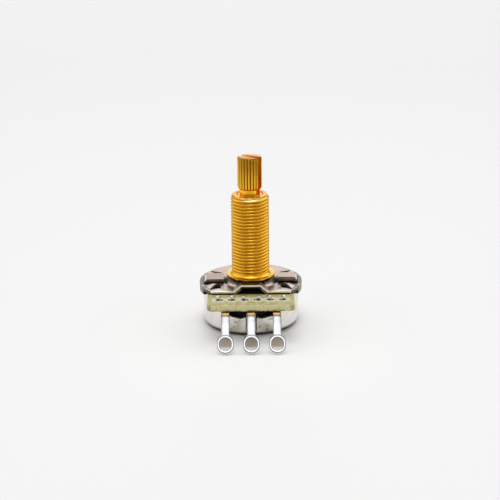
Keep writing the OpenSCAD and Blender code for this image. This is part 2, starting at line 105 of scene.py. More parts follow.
def makePiece(name, bm, body, material, replaced, sharpAngle=25):
    bmesh.ops.remove_doubles(bm, verts=bm.verts, dist=0.0005)
    bmesh.ops.recalc_face_normals(bm, faces=bm.faces)
    bmesh.ops.scale(bm, verts=bm.verts, vec=(toMetres, toMetres, toMetres))
    for face in bm.faces:
        face.smooth = True
    for edge in bm.edges:
        edge.smooth = len(edge.link_faces) == 2 and edge.calc_face_angle(0) < radians(sharpAngle)
    mesh = meshOf(name, bm)
    piece = linked(name, mesh)
    mesh.materials.append(material)
    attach(piece, body)
    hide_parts(replaced)
    return piece


def paintNode(name, material):
    mesh = nodes[name].data
    mesh.materials.clear()
    mesh.materials.append(material)


# a CAD node's own shape, cleaned of its loose triangles, with its sharp edges broken
def softenedCopy(node, width, segments):
    bm = bmesh.new()
    bm.from_mesh(nodes[node].data)
    bmesh.ops.remove_doubles(bm, verts=bm.verts, dist=1e-6)
    bmesh.ops.scale(bm, verts=bm.verts, vec=(1 / toMetres, 1 / toMetres, 1 / toMetres))
    bmesh.ops.dissolve_limit(bm, angle_limit=0.01, verts=bm.verts, edges=bm.edges)
    breakEdges(bm, sharpEdges(bm, 30), width, segments)
    return bm


# small helpers for materials
def startMaterial(name):
    material = bpy.data.materials.new(name)
    material.use_nodes = True
    tree = material.node_tree
    coords = tree.nodes.new("ShaderNodeTexCoord")
    return material, tree, tree.nodes["Principled BSDF"], coords.outputs["Object"]


def noiseNode(tree, vector, scale, detail, roughness=0.55):
    noise = tree.nodes.new("ShaderNodeTexNoise")
    noise.inputs["Scale"].default_value = scale
    noise.inputs["Detail"].default_value = detail
    noise.inputs["Roughness"].default_value = roughness
    tree.links.new(vector, noise.inputs["Vector"])
    return noise.outputs["Fac"]


def stretched(tree, vector, scale):
    mapping = tree.nodes.new("ShaderNodeMapping")
    mapping.inputs["Scale"].default_value = scale
    tree.links.new(vector, mapping.inputs["Vector"])
    return mapping.outputs["Vector"]


def rampNode(tree, value, stops):
    ramp = tree.nodes.new("ShaderNodeValToRGB")
    elements = ramp.color_ramp.elements
    for element, (place, colour) in zip(elements, (stops[0], stops[-1])):
        element.position = place
        element.color = (*colour, 1)
    for place, colour in stops[1:-1]:
        elements.new(place).color = (*colour, 1)
    tree.links.new(value, ramp.inputs["Fac"])
    return ramp.outputs["Color"]


def bumpNode(tree, value, strength, distance):
    bump = tree.nodes.new("ShaderNodeBump")
    bump.inputs["Strength"].default_value = strength
    bump.inputs["Distance"].default_value = distance
    tree.links.new(value, bump.inputs["Height"])
    return bump.outputs["Normal"]


def greyRamp(tree, value, low, high):
    return rampNode(tree, value, [(0.3, (low, low, low)), (0.7, (high, high, high))])


def mapRange(tree, value, low, high, smooth=False):
    node = tree.nodes.new("ShaderNodeMapRange")
    if smooth:
        node.interpolation_type = "SMOOTHSTEP"
    node.inputs["From Min"].default_value = low
    node.inputs["From Max"].default_value = high
    tree.links.new(value, node.inputs["Value"])
    return node.outputs["Result"]


def mathNode(tree, operation, *values):
    node = tree.nodes.new("ShaderNodeMath")
    node.operation = operation
    for socket, value in zip(node.inputs, values):
        if isinstance(value, (int, float)):
            socket.default_value = value
        else:
            tree.links.new(value, socket)
    return node.outputs["Value"]


def vectorNode(tree, operation, source, vector=None):
    node = tree.nodes.new("ShaderNodeVectorMath")
    node.operation = operation
    tree.links.new(source, node.inputs[0])
    if vector is not None:
        node.inputs[1].default_value = vector
    return node.outputs["Value" if operation in ("DOT_PRODUCT", "LENGTH") else "Vector"]


def product(tree, *factors):
    total = factors[0]
    for factor in factors[1:]:
        total = mathNode(tree, "MULTIPLY", total, factor)
    return total


def absolute(tree, value):
    return mathNode(tree, "ABSOLUTE", value)


def distanceOf(tree, first, second):
    # from two lengths at right angles
    squares = mathNode(tree, "ADD", product(tree, first, first), product(tree, second, second))
    return mathNode(tree, "SQRT", squares)


def nearestLug(tree, across, pitch):
    # how far to the side of the nearest of the three lugs
    beside = absolute(tree, mathNode(tree, "SUBTRACT", across, pitch * toMetres))
    return mathNode(tree, "MINIMUM", across, beside)


# A mark's ends are two lengths in millimetres: where it is gone, and where it is full.
# A band's lengths are its start, its end and the soft width outside them.
def fade(tree, value, ends, smooth=False):
    gone, full = ends
    return mapRange(tree, value, gone * toMetres, full * toMetres, smooth)


def inBand(tree, value, band):
    low, high, soft = band
    return product(tree, fade(tree, value, (low - soft, low)), fade(tree, value, (high + soft, high)))


def mixed(tree, factor, plain, colour, blend="MIX"):
    mix = tree.nodes.new("ShaderNodeMix")
    mix.data_type = "RGBA"
    mix.blend_type = blend
    tree.links.new(factor, mix.inputs[0])
    tree.links.new(plain, mix.inputs[6])
    mix.inputs[7].default_value = (*colour, 1)
    return mix.outputs[2]


def paintOver(tree, factor, colour, blend="MIX"):
    base = tree.nodes["Principled BSDF"].inputs["Base Color"]
    tree.links.new(mixed(tree, factor, base.links[0].from_socket, colour, blend), base)


# small dark specks, more or fewer by the level that the noise has to pass
def specks(tree, coords, m):
    level, softness = m["speckLevel"], 0.025
    spot = noiseNode(tree, coords, m["speckScale"], 2, 0.5)
    paintOver(tree, mapRange(tree, spot, level, level + softness), m["speckColour"])


def partCoords(material):
    # the material's object coordinates: whole, sideways from the middle, y and z
    tree = material.node_tree
    coords = next(n for n in tree.nodes if n.type == "TEX_COORD").outputs["Object"]
    split = tree.nodes.new("ShaderNodeSeparateXYZ")
    tree.links.new(coords, split.inputs["Vector"])
    return tree, coords, absolute(tree, split.outputs["X"]), split.outputs["Y"], split.outputs["Z"]


def fromAxis(tree, coords):
    # distance from the shaft's axis
    return vectorNode(tree, "LENGTH", vectorNode(tree, "MULTIPLY", coords, (1, 1, 0)))


# sheet or turned metal: colour drifts a little, fine grain in the roughness, shallow bump
def metalMaterial(name, look):
    material, tree, shader, vector = startMaterial(name)
    shader.inputs["Metallic"].default_value = 1.0
    shader.inputs["Specular Tint"].default_value = (*look.get("edgeTint", (1, 1, 1)), 1)
    cloud = noiseNode(tree, vector, look["cloudScale"], 4)
    colour = rampNode(tree, cloud, [(0.3, look["dark"]), (0.7, look["light"])])
    tree.links.new(colour, shader.inputs["Base Color"])
    grain = noiseNode(tree, vector, look["grainScale"], 3, 0.6)
    tree.links.new(greyRamp(tree, grain, *look["roughness"]), shader.inputs["Roughness"])
    tree.links.new(bumpNode(tree, grain, look["bump"], look["bumpDepth"]), shader.inputs["Normal"])
    return material


# brass of the bushing and the shaft
slotTurn = -34  # degrees from +x to the saw cut
brassLook = {
    "dark": (0.625, 0.325, 0.0185), "light": (0.73, 0.40, 0.034), "edgeTint": (1.0, 0.95, 0.84),
    "cloudScale": 500, "grainScale": 3500, "roughness": (0.19, 0.28), "bump": 0.03, "bumpDepth": 0.00002,
}
brassMarks = {
    "splines": (34.6, 42.2, 0.2), "tip": (2.84, 2.98), "tipShare": 0.5, "tipHighlightColour": (1.0, 0.56, 0.045),
    "groove": (2.86, 2.72), "grooveShare": 0.5, "grooveShadeColour": (0.24, 0.095, 0.004),
    "cutWall": (0.86, 0.82), "cutAbove": (33.35, 33.4), "cutWallLightColour": (1.0, 0.64, 0.13),
    "end": (42.35, 42.5), "endShadeTint": (0.50, 0.35, 0.16),
    "rimAbove": (33.0, 33.12), "rimOutside": (3.1, 3.3), "rimShadeTint": (0.82, 0.66, 0.50),
    "neck": (33.3, 34.5, 0.1), "neckWithin": (2.7, 2.6), "neckHighlightColour": (1.0, 0.57, 0.035),
    "chamfer": (32.45, 33.1, 0.08), "chamferFront": (-3.6, -4.3), "chamferShare": 0.6,
    "chamferHighlightColour": (1.0, 0.80, 0.36),
    "crevice": (12.46, 12.30), "dirt": (12.66, 12.52), "dirtScale": 620, "dirtLevel": (0.47, 0.54),
    "shadeAndDirtColour": (0.06, 0.035, 0.010),
    "speckScale": 1500, "speckLevel": 0.72, "speckColour": (0.10, 0.045, 0.006),
}


def stainBrass(material, m, cutTurn):
    tree, coords, _, y, z = partCoords(material)
    r = fromAxis(tree, coords)
    # painted highlight on the splines' tips, and painted shade in the grooves between them
    splines = inBand(tree, z, m["splines"])
    paintOver(tree, product(tree, splines, fade(tree, r, m["tip"]), m["tipShare"]), m["tipHighlightColour"])
    paintOver(tree, product(tree, splines, fade(tree, r, m["groove"]), m["grooveShare"]), m["grooveShadeColour"])
    # painted light on the walls of the saw cut
    offWall = absolute(tree, vectorNode(tree, "DOT_PRODUCT", coords, (-sin(cutTurn), cos(cutTurn), 0)))
    wall = product(tree, fade(tree, offWall, m["cutWall"]), fade(tree, z, m["cutAbove"]))
    paintOver(tree, wall, m["cutWallLightColour"])
    # painted shade darkens the ends of shaft and thread
    paintOver(tree, fade(tree, z, m["end"]), m["endShadeTint"], "MULTIPLY")
    rim = product(tree, fade(tree, z, m["rimAbove"]), fade(tree, r, m["rimOutside"]))
    paintOver(tree, rim, m["rimShadeTint"], "MULTIPLY")
    # painted highlight on the neck, and on the front of the thread's chamfer
    neck = product(tree, inBand(tree, z, m["neck"]), fade(tree, r, m["neckWithin"]))
    paintOver(tree, neck, m["neckHighlightColour"])
    chamfer = product(tree, inBand(tree, z, m["chamfer"]), fade(tree, y, m["chamferFront"]))
    paintOver(tree, product(tree, chamfer, m["chamferShare"]), m["chamferHighlightColour"])
    # painted shade in the crevice under the flange, and clots of dirt round it
    paintOver(tree, fade(tree, z, m["crevice"]), m["shadeAndDirtColour"])
    clots = mapRange(tree, noiseNode(tree, coords, m["dirtScale"], 3, 0.6), *m["dirtLevel"])
    paintOver(tree, product(tree, clots, fade(tree, z, m["dirt"])), m["shadeAndDirtColour"])
    specks(tree, coords, m)


brass = metalMaterial("goldenBrass", brassLook)
stainBrass(brass, brassMarks, radians(slotTurn))
print("brass ready")


# threaded bushing
bushing = {
    "crestRadius": 4.75, "rootRadius": 4.37, "wallRadius": 4.63, "pitch": 0.826, "steps": 96,
    "flangeRadius": 6.1, "bossTop": 12.2, "flangeTop": 12.7, "threadFoot": 13.25, "top": 33.2,
    "chamferHeight": 0.75, "chamferWidth": 0.42, "boreRadius": 3.2, "mouth": 0.2,
    "stemRadius": 3.95, "headRadius": 4.5, "headFoot": 10.9, "headTop": 11.4,
}


def extrudedLoop(bm, edges):
    made = bmesh.ops.extrude_edge_only(bm, edges=edges)
    newEdges = [g for g in made["geom"] if isinstance(g, bmesh.types.BMEdge) and len(g.link_faces) == 1]
    newVerts = list({v for e in newEdges for v in e.verts})
    return newEdges, newVerts


def sweepProfile(bm, edges, profile):
    # carries an open edge loop through a list of (radius, height)
    for radius, height in profile:
        edges, verts = extrudedLoop(bm, edges)
        for v in verts:
            r = hypot(v.co.x, v.co.y)
            v.co = (v.co.x / r * radius, v.co.y / r * radius, height)
    return edges


def threadTurns(b):
    # one pitch of the thread's section, spun along its helix and repeated past both ends
    pitch, crest, root = b["pitch"], b["crestRadius"], b["rootRadius"]
    turns = ceil((b["top"] - b["threadFoot"]) / pitch) + 3
    section = [(crest, 0), (crest, 0.12), (crest - 0.05, 0.21), (root + 0.05, 0.44), (root, 0.49),
               (root, 0.53), (root + 0.05, 0.58), (crest - 0.05, 0.81), (crest, 0.90), (crest, 1.0)]
    start = b["threadFoot"] - 2 * pitch
    bm = bmesh.new()
    verts = [bm.verts.new((0, -r, start + t * pitch)) for r, t in section]
    edges = [bm.edges.new(pair) for pair in zip(verts, verts[1:])]
    bmesh.ops.spin(bm, geom=verts + edges, cent=(0, 0, 0), axis=(0, 0, 1), angle=2 * pi,
                   steps=b["steps"], dvec=(0, 0, pitch / b["steps"]), use_merge=False)
    oneTurn = allOf(bm)
    for turn in range(1, turns):
        copied = bmesh.ops.duplicate(bm, geom=oneTurn)["geom"]
        bmesh.ops.translate(bm, verts=vertsOf(copied), vec=(0, 0, turn * pitch))
    bmesh.ops.remove_doubles(bm, verts=bm.verts, dist=0.002)
    return bm


def makeBushing(b):
    bm = threadTurns(b)
    crest, wall, foot, top = b["crestRadius"], b["wallRadius"], b["threadFoot"], b["top"]
    # the groove runs out above the flange, and the chamfer cuts the last crests
    for v in bm.verts:
        r = hypot(v.co.x, v.co.y)
        z = v.co.z
        chamfer = crest - b["chamferWidth"] * (z - top + b["chamferHeight"]) / b["chamferHeight"]
        runOut = smoothStep(foot + 0.15, foot + 0.55, z)
        target = min(wall + (r - wall) * runOut, chamfer)
        v.co.x *= target / r
        v.co.y *= target / r
    bmesh.ops.bisect_plane(bm, geom=allOf(bm), dist=1e-5, plane_co=(0, 0, top), plane_no=(0, 0, 1),
                           clear_outer=True)
    bmesh.ops.bisect_plane(bm, geom=allOf(bm), dist=1e-5, plane_co=(0, 0, foot), plane_no=(0, 0, 1),
                           clear_inner=True)
    openEdges = [e for e in bm.edges if len(e.link_faces) == 1]
    upper = [e for e in openEdges if all(v.co.z > top - 0.01 for v in e.verts)]
    lower = [e for e in openEdges if all(v.co.z < foot + 0.01 for v in e.verts)]
    bore, mouth = b["boreRadius"], b["mouth"]
    upperEnd = sweepProfile(bm, upper, [
        (4.2, top), (bore + mouth + 0.05, top), (bore + 0.06, top - 0.1), (bore, top - mouth - 0.1),
        (bore, top - 8)])
    flange, flangeTop, bossTop = b["flangeRadius"], b["flangeTop"], b["bossTop"]
    stem, head, headTop, headFoot = b["stemRadius"], b["headRadius"], b["headTop"], b["headFoot"]
    lowerEnd = sweepProfile(bm, lower, [
        (crest + 0.12, flangeTop + 0.28), (crest + 0.36, flangeTop + 0.06), (crest + 0.6, flangeTop),
        (flange - 0.18, flangeTop), (flange - 0.05, flangeTop - 0.05), (flange, flangeTop - 0.16),
        (flange, bossTop + 0.08), (flange - 0.08, bossTop), (stem, bossTop),
        (stem, headTop), (head - 0.1, headTop), (head, headTop - 0.1),
        (head - 0.1, headFoot + 0.05), (head - 0.3, headFoot),
        (bore + 0.1, headFoot), (bore, headFoot + 0.1), (bore, top - 9)])
    bmesh.ops.bridge_loops(bm, edges=upperEnd + lowerEnd)
    return makePiece("threadedBushing", bm, "housing", brass, "bushing", sharpAngle=40)


makeBushing(bushing)
print("bushing made")


# split shaft
shaft = {
    "teeth": 24, "perTooth": 8, "tooth": (0.0, 0.34, 0.76, 0.95, 1.0, 0.95, 0.76, 0.34),
    "tipRadius": 3.02, "grooveRadius": 2.64, "neckRadius": 2.55,
    "bodyRadius": 3.15, "tailRadius": 2.9, "tailHalfFlat": 2.2, "tailFoot": 1.35, "hubTop": 7.6,
    "clipFoot": 10.075, "clipTop": 10.625, "clipRadius": 2.6, "shoulder": 33.1, "splineFoot": 34.5,
    "top": 42.6, "slotWidth": 1.6, "slotFloor": 33.3, "slotTurn": slotTurn, "sawEdge": 0.05,
}


def shaftSections(s):
    tail, body, clip, tip, top = s["tailRadius"], s["bodyRadius"], s["clipRadius"], s["tipRadius"], s["top"]
    neck, foot = s["neckRadius"], s["splineFoot"]
    return [
        ("flat", tail - 0.2, s["tailFoot"]), ("flat", tail, s["tailFoot"] + 0.2), ("flat", tail, s["hubTop"]),
        ("round", body, s["hubTop"]), ("round", body, s["clipFoot"]), ("round", clip, s["clipFoot"]),
        ("round", clip, s["clipTop"]), ("round", body, s["clipTop"]), ("round", body, s["shoulder"] - 0.15),
        ("round", body - 0.15, s["shoulder"]), ("round", neck, s["shoulder"]), ("round", neck, foot),
        ("spline", neck + 0.14, foot + 0.10), ("spline", tip - 0.12, foot + 0.34),
        ("spline", tip, foot + 0.62), ("spline", tip, top - 4), ("spline", tip, top - 0.34),
        ("spline", tip - 0.07, top - 0.16), ("spline", tip - 0.24, top - 0.02), ("round", tip - 0.36, top),
    ]


def shaftBlank(s):
    count = s["teeth"] * s["perTooth"]
    turn = radians(s["slotTurn"])

    def placeRing(verts, kind, size, z):
        for i, v in enumerate(verts):
            angle = 2 * pi * (i - s["perTooth"] / 2) / count + turn
            if kind == "spline":  # a narrow V groove between rounded tips
                height = s["tooth"][i % s["perTooth"]] * (s["tipRadius"] - s["grooveRadius"])
                r = min(size, s["grooveRadius"] + height)
            elif kind == "flat":
                r = min(size, s["tailHalfFlat"] / max(abs(sin(angle)), 1e-6))
            else:
                r = size
            v.co = (r * cos(angle), r * sin(angle), z)

    def byAngle(verts):
        step = 2 * pi / count

        def place(v):
            return round((atan2(v.co.y, v.co.x) - turn) / step + s["perTooth"] / 2) % count

        return sorted(verts, key=place)

    sections = shaftSections(s)
    bm = bmesh.new()
    ring = byAngle(bmesh.ops.create_circle(bm, cap_ends=True, segments=count, radius=1)["verts"])
    placeRing(ring, *sections[0])
    edges = bm.edges[:]
    for kind, size, z in sections[1:]:
        edges, verts = extrudedLoop(bm, edges)
        placeRing(byAngle(verts), kind, size, z)
    bmesh.ops.contextual_create(bm, geom=edges)
    bmesh.ops.remove_doubles(bm, verts=bm.verts, dist=0.0005)
    bmesh.ops.recalc_face_normals(bm, faces=bm.faces)
    return bm


def sawBlade(s):
    bm = bmesh.new()
    bmesh.ops.create_cube(bm, size=1)
    bmesh.ops.scale(bm, verts=bm.verts, vec=(12, s["slotWidth"], 20))
    bmesh.ops.translate(bm, verts=bm.verts, vec=(0, 0, s["slotFloor"] + 10))
    turned = Matrix.Rotation(radians(s["slotTurn"]), 3, "Z")
    bmesh.ops.rotate(bm, verts=bm.verts, cent=(0, 0, 0), matrix=turned)
    return bm


def makeShaft(s):
    mesh = meshOf("shaftBlank", shaftBlank(s))
    cutterMesh = meshOf("sawCut", sawBlade(s))
    blank = linked("shaftBlank", mesh)
    cutter = linked("sawCut", cutterMesh)
    # the saw cut goes down through splines and neck
    modifier = blank.modifiers.new("saw", "BOOLEAN")
    modifier.operation = "DIFFERENCE"
    modifier.solver = "EXACT"
    modifier.object = cutter
    bpy.context.view_layer.update()
    cutMesh = bpy.data.meshes.new_from_object(blank.evaluated_get(bpy.context.evaluated_depsgraph_get()))
    bm = bmesh.new()
    bm.from_mesh(cutMesh)
    for spare in (blank, cutter):
        bpy.data.objects.remove(spare)
    for spare in (mesh, cutterMesh, cutMesh):
        bpy.data.meshes.remove(spare)
    # it leaves a broken edge
    turn = radians(s["slotTurn"])
    slotSide = Vector((-sin(turn), cos(turn), 0))
    half, above = s["slotWidth"] / 2, s["slotFloor"] + 0.05

    def onWall(edge):
        return all(abs(abs(v.co.dot(slotSide)) - half) < 0.002 and v.co.z > above for v in edge.verts)

    breakEdges(bm, [e for e in sharpEdges(bm, 50) if onWall(e)], s["sawEdge"], 1)
    return makePiece("splitShaft", bm, "rotor", brass, "shaft", sharpAngle=40)


makeShaft(shaft)
print("shaft made")


# solder lugs
lug = {
    "pitch": 6.2, "sheet": 0.5, "neckHalf": 1.0, "rootHalf": 1.7, "rootLength": 3.7, "shoulder": 0.7,
    "flat": 6.9, "bendRadius": 1.2, "bendSteps": 12, "slope": 49.5, "free": 7.3, "holeRadius": 1.35,
    "rim": 0.62, "stretch": 0.5, "fillet": 2.2, "startY": -9.5, "top": 8.25, "edge": 0.18,
}
prong = {
    "halfGap": 1.25, "y": -12.0, "sheet": 0.34, "width": 0.9, "boardTop": 9.8, "curlRadius": 0.36,
    "curlHeight": 0.30, "curlSteps": 8, "edge": 0.07, "seat": 0.02,
}
tinLook = {
    "dark": (0.72, 0.73, 0.75), "light": (0.86, 0.87, 0.88), "cloudScale": 700, "grainScale": 2500,
    "roughness": (0.16, 0.26), "bump": 0.04, "bumpDepth": 0.00003,
}
tinMarks = {
    "shade": (6.6, 7.6, 0.7), "shadeShare": 0.45, "shadeColour": (0.46, 0.50, 0.57),
    "boardShadeAbove": (7.3, 7.7), "boardShadeFront": (-15.8, -16.1), "boardShadeColour": (0.26, 0.165, 0.07),
    "outerEdge": (1.78, 1.90), "innerEdge": (1.56, 1.44), "onRing": (2.2, 2.0), "offRing": (2.0, 2.2),
    "neckEdge": (0.80, 0.92), "neckBelow": (7.9, 7.7), "edgeShare": 0.85, "edgeColour": (0.10, 0.10, 0.11),
}


def stainTin(material, l, m):
    tree, coords, across, y, z = partCoords(material)
    # painted bluish shade across the necks, and painted shade with a brown painted reflection of the board
    # where they come out from under it
    paintOver(tree, product(tree, inBand(tree, z, m["shade"]), m["shadeShare"]), m["shadeColour"])
    boardShade = product(tree, fade(tree, z, m["boardShadeAbove"]), fade(tree, y, m["boardShadeFront"]))
    paintOver(tree, boardShade, m["boardShadeColour"])
    # painted dark reflection as an outline along the blanked edges of each neck and round each eyelet, in the
    # lug's own plane
    slope = radians(l["slope"])
    downhill = Vector((0, -cos(slope), -sin(slope)))
    bendAxis = Vector((0, l["startY"] - l["flat"], l["top"] - l["bendRadius"]))
    centre = (bendAxis.dot(downhill) + l["free"]) * toMetres
    down = vectorNode(tree, "DOT_PRODUCT", coords, downhill)
    below = absolute(tree, mathNode(tree, "SUBTRACT", down, centre))
    past = mathNode(tree, "MAXIMUM", mathNode(tree, "SUBTRACT", below, l["stretch"] / 2 * toMetres), 0.0)
    aside = nearestLug(tree, across, l["pitch"])
    reach = distanceOf(tree, aside, past)
    ringEdge = mathNode(tree, "MAXIMUM", fade(tree, reach, m["outerEdge"]), fade(tree, reach, m["innerEdge"]))
    neckEdge = product(tree, fade(tree, aside, m["neckEdge"]), fade(tree, reach, m["offRing"]),
                       fade(tree, z, m["neckBelow"]))
    outline = mathNode(tree, "MAXIMUM", product(tree, ringEdge, fade(tree, reach, m["onRing"])), neckEdge)
    paintOver(tree, product(tree, outline, m["edgeShare"]), m["edgeColour"])


def arcPoints(cx, cy, r, start, end, count):
    angles = [radians(start + (end - start) * i / count) for i in range(count + 1)]
    return [(cx + r * cos(a), cy + r * sin(a)) for a in angles]


def loopOf(bm, points):
    verts = [bm.verts.new((x, y, 0)) for x, y in points]
    return [bm.edges.new(pair) for pair in zip(verts, verts[1:] + verts[:1])]


def lugBlank(l):
    # flat blank: x across, y along the strip from its inner end
    ringR = l["holeRadius"] + l["rim"]
    half = l["stretch"] / 2
    bendLength = l["bendRadius"] * radians(l["slope"])
    centre = l["flat"] + bendLength + l["free"]
    root, neck, f = l["rootHalf"], l["neckHalf"], l["fillet"]
    shoulderEnd = l["rootLength"] + l["shoulder"]
    reach = sqrt((ringR + f) ** 2 - (neck + f) ** 2)
    meet = degrees(atan2(reach, neck + f))
    side = [(root, 0.0), (root, l["rootLength"]), (neck + 0.05, shoulderEnd), (neck, shoulderEnd + 0.2)]
    side += arcPoints(neck + f, centre - half - reach, f, 180, 180 - meet, 8)
    side += arcPoints(0, centre - half, ringR, -meet, 0, 8)[1:]
    side += arcPoints(0, centre + half, ringR, 0, 90, 14)
    outline = side + [(-x, y) for x, y in reversed(side[:-1])]
    hole = arcPoints(0, centre + half, l["holeRadius"], 0, 180, 20)
    hole += arcPoints(0, centre - half, l["holeRadius"], 180, 360, 20)
    bm = bmesh.new()
    edges = loopOf(bm, outline) + loopOf(bm, hole)
    bmesh.ops.triangle_fill(bm, use_beauty=True, use_dissolve=False, edges=edges)
    for i in range(l["bendSteps"] + 1):
        cut = l["flat"] + bendLength * i / l["bendSteps"]
        bmesh.ops.bisect_plane(bm, geom=allOf(bm), dist=1e-5, plane_co=(0, cut, 0), plane_no=(0, 1, 0))
    under = bmesh.ops.extrude_face_region(bm, geom=bm.faces[:], use_keep_orig=True)["geom"]
    bmesh.ops.translate(bm, verts=vertsOf(under), vec=(0, 0, -l["sheet"]))
    bmesh.ops.recalc_face_normals(bm, faces=bm.faces)
    breakEdges(bm, levelSharpEdges(bm, 70), l["edge"], 3)
    return bm


def bendLug(bm, l, x):
    # laid under the board and bent down in front of it
    slope = radians(l["slope"])
    bendLength = l["bendRadius"] * slope
    axisY, axisZ = l["startY"] - l["flat"], l["top"] - l["bendRadius"]
    for v in bm.verts:
        along, depth = v.co.y, -v.co.z
        radius = l["bendRadius"] - depth
        if along <= l["flat"]:
            y, z = l["startY"] - along, l["top"] - depth
        elif along <= l["flat"] + bendLength:
            a = (along - l["flat"]) / l["bendRadius"]
            y, z = axisY - radius * sin(a), axisZ + radius * cos(a)
        else:
            t = along - l["flat"] - bendLength
            y = axisY - radius * sin(slope) - t * cos(slope)
            z = axisZ + radius * cos(slope) - t * sin(slope)
        v.co = (v.co.x + x, y, z)


def prongMesh(p, foot, sign, x):
    # comes up through the board and is curled over outwards on top of it
    bm = bmesh.new()
    half, stem = p["width"] / 2, p["halfGap"] - p["sheet"] / 2
    outside = stem + p["sheet"]
    turnZ = p["boardTop"] + p["curlHeight"]
    axis = (outside + p["curlRadius"], 0, turnZ)
    corners = ((stem, -half, foot), (outside, -half, foot), (outside, half, foot), (stem, half, foot))
    endFace = bm.faces.new([bm.verts.new(corner) for corner in corners])
    path = [("lift", turnZ)] + [("turn", 180 / p["curlSteps"])] * p["curlSteps"]
    path += [("lift", p["boardTop"] + p["seat"])]
    for kind, amount in path:
        made = bmesh.ops.extrude_face_region(bm, geom=[endFace])["geom"]
        endFace = [g for g in made if isinstance(g, bmesh.types.BMFace)][0]
        ring = list(endFace.verts)
        if kind == "lift":
            for v in ring:
                v.co.z = amount
        else:
            bmesh.ops.rotate(bm, verts=ring, cent=axis, matrix=Matrix.Rotation(radians(amount), 3, "Y"))
    bmesh.ops.translate(bm, verts=bm.verts, vec=(0, p["y"], 0))
    bmesh.ops.remove_doubles(bm, verts=bm.verts, dist=1e-4)
    bmesh.ops.recalc_face_normals(bm, faces=bm.faces)
    breakEdges(bm, sharpEdges(bm, 60), p["edge"], 2)
    if sign < 0:
        bmesh.ops.scale(bm, verts=bm.verts, vec=(-1, 1, 1))
        bmesh.ops.reverse_faces(bm, faces=bm.faces)
    bmesh.ops.translate(bm, verts=bm.verts, vec=(x, 0, 0))
    return meshOf("prong", bm)


def makeLug(name, x, replaced, l, p):
    bm = lugBlank(l)
    bendLug(bm, l, x)
    for sign in (-1, 1):
        spare = prongMesh(p, l["top"] - p["seat"], sign, x)
        bm.from_mesh(spare)
        bpy.data.meshes.remove(spare)
    return makePiece(name, bm, "housing", tin, replaced)


tin = metalMaterial("brightTin", tinLook)
stainTin(tin, lug, tinMarks)
makeLug("leftLug", -lug["pitch"], "terminal_left", lug, prong)
makeLug("centreLug", 0.0, "terminal_centre", lug, prong)
makeLug("rightLug", lug["pitch"], "terminal_right", lug, prong)
paintNode("collector_ring", tin)
print("solder lugs made")


# drawn cover
cover = {
    "edge": 0.18, "edgeSteps": 1, "earTilt": 0.09, "earHalf": 2.35, "tiltFrom": 9.9, "tiltTo": 10.8,
}
coverLook = {
    "dark": (0.77, 0.725, 0.69), "light": (0.88, 0.845, 0.81), "cloudScale": 260, "grainScale": 2600,
    "roughness": (0.28, 0.42), "bump": 0.05, "bumpDepth": 0.00003,
}
coverMarks = {
    "earAbove": (10.3, 10.7), "earWithin": (11.45, 11.05), "earShadeTint": (0.40, 0.30, 0.25),
    "sideBelow": (11.8, 10.9), "sideAbove": (10.3, 10.5), "sideOutside": (2.26, 2.34),
    "sideShadeColour": (0.03, 0.028, 0.02),
    "cloudScale": 210, "cloudStretch": 1.6, "cloudLevel": (0.46, 0.58), "cloudFront": (-9.2, -10.8),
    "cloudShare": 0.28, "cloudReflectionColour": (0.30, 0.29, 0.22),
    "smudgeScale": 640, "smudgeStretch": 1.3, "smudgeLevel": (0.56, 0.64), "smudgeFront": (-9.8, -10.8),
    "smudgeShare": 0.55, "smudgeColour": (0.16, 0.155, 0.10),
    "speckScale": 1100, "speckLevel": 0.715, "speckColour": (0.12, 0.09, 0.06),
    "foot": (1.4, 0.7), "footShadeColour": (0.035, 0.03, 0.022),
}


def stainCover(material, m):
    tree, coords, across, y, z = partCoords(material)
    # painted shade, pinkish, on its ears, and dark painted shade along their sides
    ear = product(tree, fade(tree, z, m["earAbove"]), fade(tree, across, m["earWithin"]))
    paintOver(tree, ear, m["earShadeTint"], "MULTIPLY")
    side = product(tree, fade(tree, z, m["sideBelow"]), fade(tree, z, m["sideAbove"]),
                   fade(tree, absolute(tree, y), m["sideOutside"]))
    paintOver(tree, side, m["sideShadeColour"])
    # painted reflection of the shaded floor as olive patches under the board, finer dark smudges there, and
    # painted contact shade round its foot
    cloud = noiseNode(tree, stretched(tree, coords, (1, 1, m["cloudStretch"])), m["cloudScale"], 3, 0.55)
    patch = product(tree, mapRange(tree, cloud, *m["cloudLevel"]), fade(tree, y, m["cloudFront"]))
    paintOver(tree, product(tree, patch, m["cloudShare"]), m["cloudReflectionColour"])
    fine = noiseNode(tree, stretched(tree, coords, (1, 1, m["smudgeStretch"])), m["smudgeScale"], 4, 0.6)
    smudge = product(tree, mapRange(tree, fine, *m["smudgeLevel"]), fade(tree, y, m["smudgeFront"]))
    paintOver(tree, product(tree, smudge, m["smudgeShare"]), m["smudgeColour"])
    specks(tree, coords, m)
    # painted contact shade round the foot
    paintOver(tree, fade(tree, z, m["foot"]), m["footShadeColour"])


def makeCover(c):
    bm = softenedCopy("rear_cover", c["edge"], c["edgeSteps"])
    # the ears weren't hammered down evenly: the right one stands up a little at its front
    for v in bm.verts:
        if v.co.x > 0:
            v.co.z -= c["earTilt"] * (v.co.y - c["earHalf"]) * smoothStep(c["tiltFrom"], c["tiltTo"], v.co.z)
    return makePiece("drawnCover", bm, "housing", nickelCover, "rear_cover")


nickelCover = metalMaterial("nickelCover", coverLook)
stainCover(nickelCover, coverMarks)
makeCover(cover)
print("cover made")


